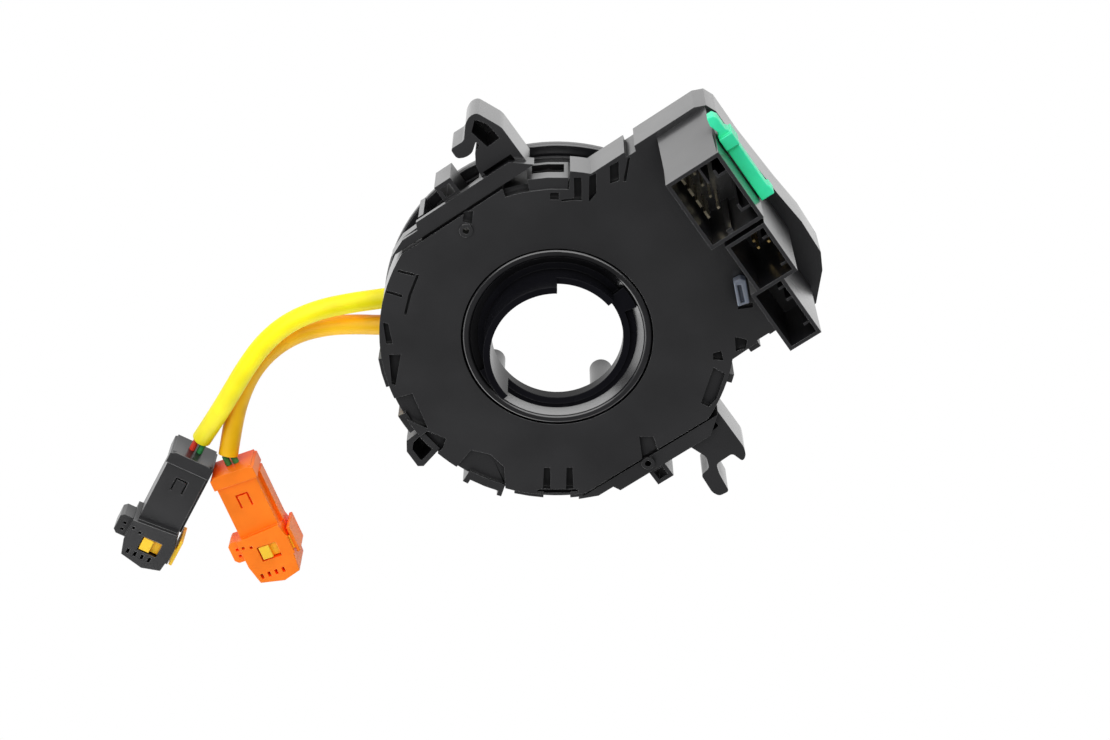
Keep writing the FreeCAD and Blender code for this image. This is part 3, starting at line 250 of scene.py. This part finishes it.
# Finishes
FINISHES = {
    "housing_black": moulded("housing_plastic", (0.007, 0.007, 0.0085), (0.05, 0.05, 0.055),
                             roughness=0.36, grain=0.4, edge=0.5, coat=1.0, level=0.4),
    "rotor_black": moulded("rotor_plastic", (0.006, 0.006, 0.0075), (0.05, 0.05, 0.055),
                           roughness=0.34, grain=0.3, edge=0.4, coat=0.5),
    "cam_black": moulded("cam_plastic", (0.006, 0.006, 0.008), (0.04, 0.04, 0.045),
                         roughness=0.24, grain=0.12, edge=0.3, level=0.1),
    "plug_black": moulded("plug_plastic_black", (0.008, 0.008, 0.0095), (0.06, 0.06, 0.065),
                          roughness=0.36, grain=0.3, edge=0.5, coat=0.4, level=0.7),
    "plug_orange": moulded("plug_plastic_orange", ORANGE, (1.0, 0.36, 0.04),
                           roughness=0.4, grain=0.3, edge=0.4, subsurface=0.1, level=0.4),
    "plug_yellow": moulded("plug_plastic_yellow", (1.0, 0.62, 0.03), (1.0, 0.75, 0.25),
                           roughness=0.4, grain=0.3, edge=0.4, subsurface=0.1),
    "lock_green": moulded("lock_plastic_green", (0.046, 0.83, 0.44), (0.2, 0.92, 0.62),
                          roughness=0.38, grain=0.3, edge=0.5, subsurface=0.1),
    "peg_pale": moulded("peg_nylon", (0.24, 0.27, 0.33), (0.5, 0.54, 0.62),
                        roughness=0.4, grain=0.3, edge=0.5, subsurface=0.2),
    "inner_natural": moulded("inner_plastic", (0.6, 0.56, 0.46), (0.7, 0.66, 0.56),
                             roughness=0.5, grain=0.3, edge=0.3),
    "slip_sheet": moulded("slip_film", (0.45, 0.45, 0.43), (0.5, 0.5, 0.48),
                          roughness=0.35, grain=0.1, edge=0.2),
    "ribbon_film": moulded("ribbon_film", (0.7, 0.33, 0.07), (0.8, 0.45, 0.15),
                           roughness=0.25, grain=0.1, edge=0.3, coat=0.3),
    "lead_yellow": moulded("sleeve_yellow", (1.0, 0.88, 0.002), (1.0, 0.92, 0.1),
                           roughness=0.45, grain=0.4, edge=0.1, subsurface=0.1, level=0.4),
    # Painted shade: this sleeve is the same yellow as the other, coloured amber for the shade it lies in.
    "lead_amber": moulded("sleeve_yellow_with_painted_shade", (1.0, 0.56, 0.002), (1.0, 0.65, 0.05),
                          roughness=0.45, grain=0.4, edge=0.1, subsurface=0.1, level=0.4),
    "wire_red": moulded("wire_red", (0.75, 0.06, 0.03), (0.8, 0.2, 0.15),
                        roughness=0.35, grain=0.2, edge=0.1),
    "wire_green": moulded("wire_green", WIRE_GREEN, (0.1, 0.45, 0.2),
                          roughness=0.35, grain=0.2, edge=0.1),
    "terminal_tin": metal("tin_plate", (0.80, 0.72, 0.52), roughness=0.3),
    "terminal_gold": metal("gold_plate", (0.83, 0.6, 0.24), roughness=0.28),
}

# The directions in which the plugs' locks slide, across each plug.
BLACK_ACROSS = Vector((0.464842, -0.885394, 0.0))
ORANGE_ACROSS = Vector((0.970296, -0.241922, 0.0))
COLOUR_BORDER_BLUR = 0.02 * MM
LOCK_STRIP_WIDTH = 1.05 * MM


def two_toned(name, finish, far_colour, border, across):
    """A copy of a finish that changes colour past a border, measured along one direction."""
    material = FINISHES[finish].copy()
    material.name = name
    tree = material.node_tree
    skin = next(made for made in tree.nodes if made.type == "GROUP")
    near_colour = tuple(skin.inputs["Color"].default_value)
    place = node(tree, "TexCoord").outputs["Object"]
    along = node(tree, "VectorMath", {0: place, 1: across}, operation="DOT_PRODUCT").outputs["Value"]
    side = spread(tree, along, border - COLOUR_BORDER_BLUR, border + COLOUR_BORDER_BLUR, 0.0, 1.0)
    tree.links.new(mixed(tree, side, near_colour, (*far_colour, 1)), skin.inputs["Color"])
    return material


def red_and_green_wires():
    """The black plug's two wires lie side by side, so the border runs along their middle."""
    low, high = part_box("black_plug_wires")
    middle = (Vector(low) + Vector(high)) / 2
    return two_toned("wires_red_and_green", "wire_red", WIRE_GREEN, middle.dot(BLACK_ACROSS), BLACK_ACROSS)


def orange_edged_lock():
    """The orange plug's lock: its outer strip is seen in the housing's own orange."""
    outer = max(vert.co.dot(ORANGE_ACROSS) for vert in frame["nodes"]["orange_plug_lock"].data.vertices)
    return two_toned("lock_yellow_and_orange", "plug_yellow", ORANGE, outer - LOCK_STRIP_WIDTH,
                     ORANGE_ACROSS)


def finish_nodes():
    for name, piece in frame["nodes"].items():
        finish = red_and_green_wires() if name == "black_plug_wires" else FINISHES[SLOTS[name]]
        for place in piece.material_slots:
            place.material = finish


# Moulded pieces: width in mm of the small radius that the mould leaves on each one's edges
MOULD_RADII = {"rear_cover": 0.25, "outer_case": 0.35, "rotor": 0.3, "retainer_ring": 0.2, "cancel_cam": 0.25,
               "connector_lock": 0.3, "locating_peg": 0.3, "lead_gland": 0.5, "switch_socket": 0.3,
               "black_plug_housing": 0.35, "orange_plug_housing": 0.35, "black_plug_lock": 0.2,
               "orange_plug_lock": 0.2}
SAME_POINT = 0.004 * MM
FLAT_ANGLE = math.radians(0.6)
SHARP_ANGLE = math.radians(38)

# The upper hook's head in mm: its limits, how far it is lowered, and from where to where that grows.
HEAD_LEFT, HEAD_RIGHT, HEAD_FOOT = 6.0, 21.5, 53.0
HEAD_LOWERED = 2.4
LOWERED_FROM, LOWERED_FULLY_AFTER = 55.2, 4.8

# Corners of the hollow in that head, in mm: where the solid has each, and where it goes.
HEAD_HOLLOW = (((15.4, 61.3), (13.9, 58.7)), ((16.8, 62.3), (16.5, 61.0)), ((17.6, 60.3), (18.4, 58.4)),
               ((15.4, 53.4), (15.0, 53.2)))
HOLLOW_CORNER_WITHIN = 0.15

# The upright corners of both hooked arms, in mm: where they are, how tall at least, and how round.
ARMS_LEFT, ARMS_RIGHT, ARMS_OUTSIDE = 4.0, 24.0, 52.0
ARM_CORNER_HEIGHT = 11.0
ARM_CORNER_LEAN = 0.05
ARM_CORNER_RADIUS = 1.1


def reshape_head(shape):
    """The upper hook's head sits lower than in the solid, and its hollow is wider."""
    for vert in shape.verts:
        x, y = vert.co.x / MM, vert.co.y / MM
        if not (HEAD_LEFT < x < HEAD_RIGHT and y > HEAD_FOOT):
            continue
        moved = [new for old, new in HEAD_HOLLOW if math.dist(old, (x, y)) < HOLLOW_CORNER_WITHIN]
        if moved:
            vert.co.x, vert.co.y = moved[0][0] * MM, moved[0][1] * MM
        elif y > LOWERED_FROM:
            vert.co.y -= HEAD_LOWERED * MM * min((y - LOWERED_FROM) / LOWERED_FULLY_AFTER, 1.0)


def round_arms(shape):
    corners = []
    for edge in shape.edges:
        first, second = (vert.co / MM for vert in edge.verts)
        leans = (first - second).to_2d().length > ARM_CORNER_LEAN
        tall = abs(first.z - second.z) > ARM_CORNER_HEIGHT
        on_an_arm = abs(first.y) > ARMS_OUTSIDE and ARMS_LEFT < first.x < ARMS_RIGHT
        if tall and on_an_arm and not leans:
            corners.append(edge)
    bmesh.ops.bevel(shape, geom=corners, offset=ARM_CORNER_RADIUS * MM, offset_type="OFFSET", segments=4,
                    profile=0.5, affect="EDGES", clamp_overlap=True, material=-1)


def shade_curves(data):
    data.shade_smooth()
    data.set_sharp_from_angle(angle=SHARP_ANGLE)


def round_edges(name, radius):
    """A moulded copy of a node, with its real small edge radii."""
    data = frame["nodes"][name].data.copy()
    shape = bmesh.new()
    shape.from_mesh(data)
    bmesh.ops.remove_doubles(shape, verts=shape.verts, dist=SAME_POINT)
    bmesh.ops.dissolve_limit(shape, angle_limit=FLAT_ANGLE, verts=shape.verts, edges=shape.edges)
    if name == "outer_case":
        reshape_head(shape)
        round_arms(shape)
    shape.to_mesh(data)
    shape.free()
    data.name = name + "_moulded"
    piece = bpy.data.objects.new(name + "_moulded", data)
    scene.collection.objects.link(piece)
    data.materials.clear()
    data.materials.append(FINISHES[SLOTS[name]])
    shade_curves(data)
    soft = piece.modifiers.new("mould_radius", "BEVEL")
    soft.width = radius * MM
    soft.segments = 2
    soft.limit_method = "ANGLE"
    soft.angle_limit = SHARP_ANGLE
    soft.use_clamp_overlap = True
    flat = piece.modifiers.new("flat_faces", "WEIGHTED_NORMAL")
    flat.weight = 100
    flat.keep_sharp = True
    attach(piece, BODY_OF[name])
    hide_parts(name)
    return piece


# Dust lip: the corners of its section in mm, each a radius and a height from the retainer ring's top
LIP_SECTION = ((21.05, -1.9), (22.86, -0.9), (22.86, -0.5), (21.05, -1.5))
LIP_STEPS = 120
LIP_SAME_POINT = 0.002 * MM


def mesh_piece(name, shape, material):
    data = bpy.data.meshes.new(name)
    shape.to_mesh(data)
    shape.free()
    data.materials.append(material)
    piece = bpy.data.objects.new(name, data)
    scene.collection.objects.link(piece)
    return piece


def add_dust_lip():
    """Thin sloping lip that closes the gap between the retainer ring and the cam's seat."""
    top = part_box("retainer_ring")[1][2]
    shape = bmesh.new()
    verts = [shape.verts.new((radius * MM, 0.0, top + height * MM)) for radius, height in LIP_SECTION]
    edges = [shape.edges.new((verts[index - 1], verts[index])) for index in range(len(verts))]
    bmesh.ops.spin(shape, geom=verts + edges, cent=(0, 0, 0), axis=(0, 0, 1), angle=math.tau,
                   steps=LIP_STEPS, use_merge=True)
    bmesh.ops.remove_doubles(shape, verts=shape.verts, dist=LIP_SAME_POINT)
    bmesh.ops.recalc_face_normals(shape, faces=shape.faces)
    lip = mesh_piece("hub_dust_lip", shape, FINISHES["housing_black"])
    shade_curves(lip.data)
    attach(lip, BODY_OF["retainer_ring"])


# Leads: the points of each one's route in mm, from the gland to its plug
YELLOW_ROUTE = [(-38.24, 23.10, 5.0), (-42.7, 25.3, 5.0), (-49.0, 29.2, 6.8), (-56.8, 33.2, 8.8),
                (-65.8, 35.0, 9.4), (-75.0, 33.9, 9.4), (-84.0, 30.6, 9.4), (-92.4, 26.6, 9.0),
                (-100.8, 22.6, 7.4), (-109.2, 18.8, 5.0)]
# The amber lead's colour is painted shade on a yellow sleeve.
SHADED_YELLOW_ROUTE = [(-41.75, 15.91, 5.0), (-45.9, 17.9, 5.0), (-52.2, 21.9, 3.6), (-59.6, 26.2, 2.9),
               (-68.0, 29.2, 2.9), (-77.0, 29.4, 2.9), (-86.0, 26.8, 2.9), (-94.2, 21.8, 2.9),
               (-101.0, 15.8, 3.4), (-106.2, 10.5, 5.0)]
LEADS = (("yellow", YELLOW_ROUTE, 0.0772, "black_plug"), ("amber", SHADED_YELLOW_ROUTE, 0.0735, "orange_plug"))
LEAD_DIAMETER = 0.0056


def sleeved_lead(name, route):
    data = bpy.data.curves.new(name, "CURVE")
    data.dimensions = "3D"
    data.resolution_u = 14
    data.bevel_depth = LEAD_DIAMETER / 2
    data.bevel_resolution = 8
    data.use_fill_caps = True
    spline = data.splines.new("NURBS")
    spline.points.add(len(route) - 1)
    for point, place in zip(spline.points, route):
        point.co = (*(value * MM for value in place), 1.0)
    spline.order_u = 3
    spline.use_endpoint_u = True
    lead = bpy.data.objects.new(name, data)
    scene.collection.objects.link(lead)
    return lead


def add_leads():
    for colour, route, length, plug in LEADS:
        lead = sleeved_lead(colour + "_lead", route)
        lead.data.materials.append(FINISHES["lead_" + colour])
        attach(lead, "rotor")
        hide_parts(plug + "_lead")


# Table, lamps and world
TABLE_HALF_WIDTH = 3.0
TABLE_WHITE = (0.8, 0.8, 0.8, 1)
WORLD_LIGHT = 0.075
LAMPS_AIM = Vector((0.0, 0.0, 0.03))
# Each lamp's place, its width and height in metres, and its power in watts.
LAMPS = {"back_light": ((-0.62, -0.88, 0.22), (2.0, 0.8), 8.0),
         "key_light": ((0.45, 0.75, 0.75), (2.0, 2.0), 26.0),
         "side_light": ((-0.82, -0.12, 0.34), (1.5, 0.9), 6.0)}


def add_table():
    """A table that is pure white to the camera and in reflections, and pale to all other light."""
    material, tree, shader = new_material("white_table")
    shader.inputs["Base Color"].default_value = TABLE_WHITE
    shader.inputs["Roughness"].default_value = 0.9
    rays = node(tree, "LightPath")
    bright = node(tree, "Emission", {"Color": (1, 1, 1, 1), "Strength": 1.0})
    shown = calculated(tree, "MAXIMUM", rays.outputs["Is Camera Ray"], rays.outputs["Is Glossy Ray"])
    seen = node(tree, "MixShader", {0: shown, 1: shader.outputs[0], 2: bright.outputs[0]})
    tree.links.new(seen.outputs[0], tree.nodes["Material Output"].inputs["Surface"])
    shape = bmesh.new()
    bmesh.ops.create_grid(shape, x_segments=1, y_segments=1, size=TABLE_HALF_WIDTH)
    mesh_piece("table", shape, material)


def add_lamps():
    for name, (place, size, power) in LAMPS.items():
        data = bpy.data.lights.new(name, "AREA")
        data.shape = "RECTANGLE"
        data.size, data.size_y = size
        data.energy = power
        lamp = bpy.data.objects.new(name, data)
        scene.collection.objects.link(lamp)
        back = (Vector(place) - LAMPS_AIM).normalized()
        lamp.matrix_world = Matrix.Translation(place) @ back.to_track_quat("Z", "Y").to_matrix().to_4x4()


def add_world():
    """A dim even light, which is white where the camera or a clear surface sees it."""
    world = bpy.data.worlds.new("studio")
    scene.world = world
    world.use_nodes = True
    tree = world.node_tree
    background = tree.nodes["Background"]
    rays = node(tree, "LightPath")
    seen = calculated(tree, "MAXIMUM", rays.outputs["Is Camera Ray"], rays.outputs["Is Transmission Ray"])
    tree.links.new(spread(tree, seen, 0.0, 1.0, WORLD_LIGHT, 1.0), background.inputs["Strength"])
    background.inputs["Color"].default_value = (1, 1, 1, 1)


add_camera()
finish_nodes()
moulded_pieces = {name: round_edges(name, radius) for name, radius in MOULD_RADII.items()}
moulded_pieces["orange_plug_lock"].data.materials[0] = orange_edged_lock()
add_leads()
add_dust_lip()
add_table()
add_lamps()
add_world()
scene.view_settings.view_transform = "Standard"
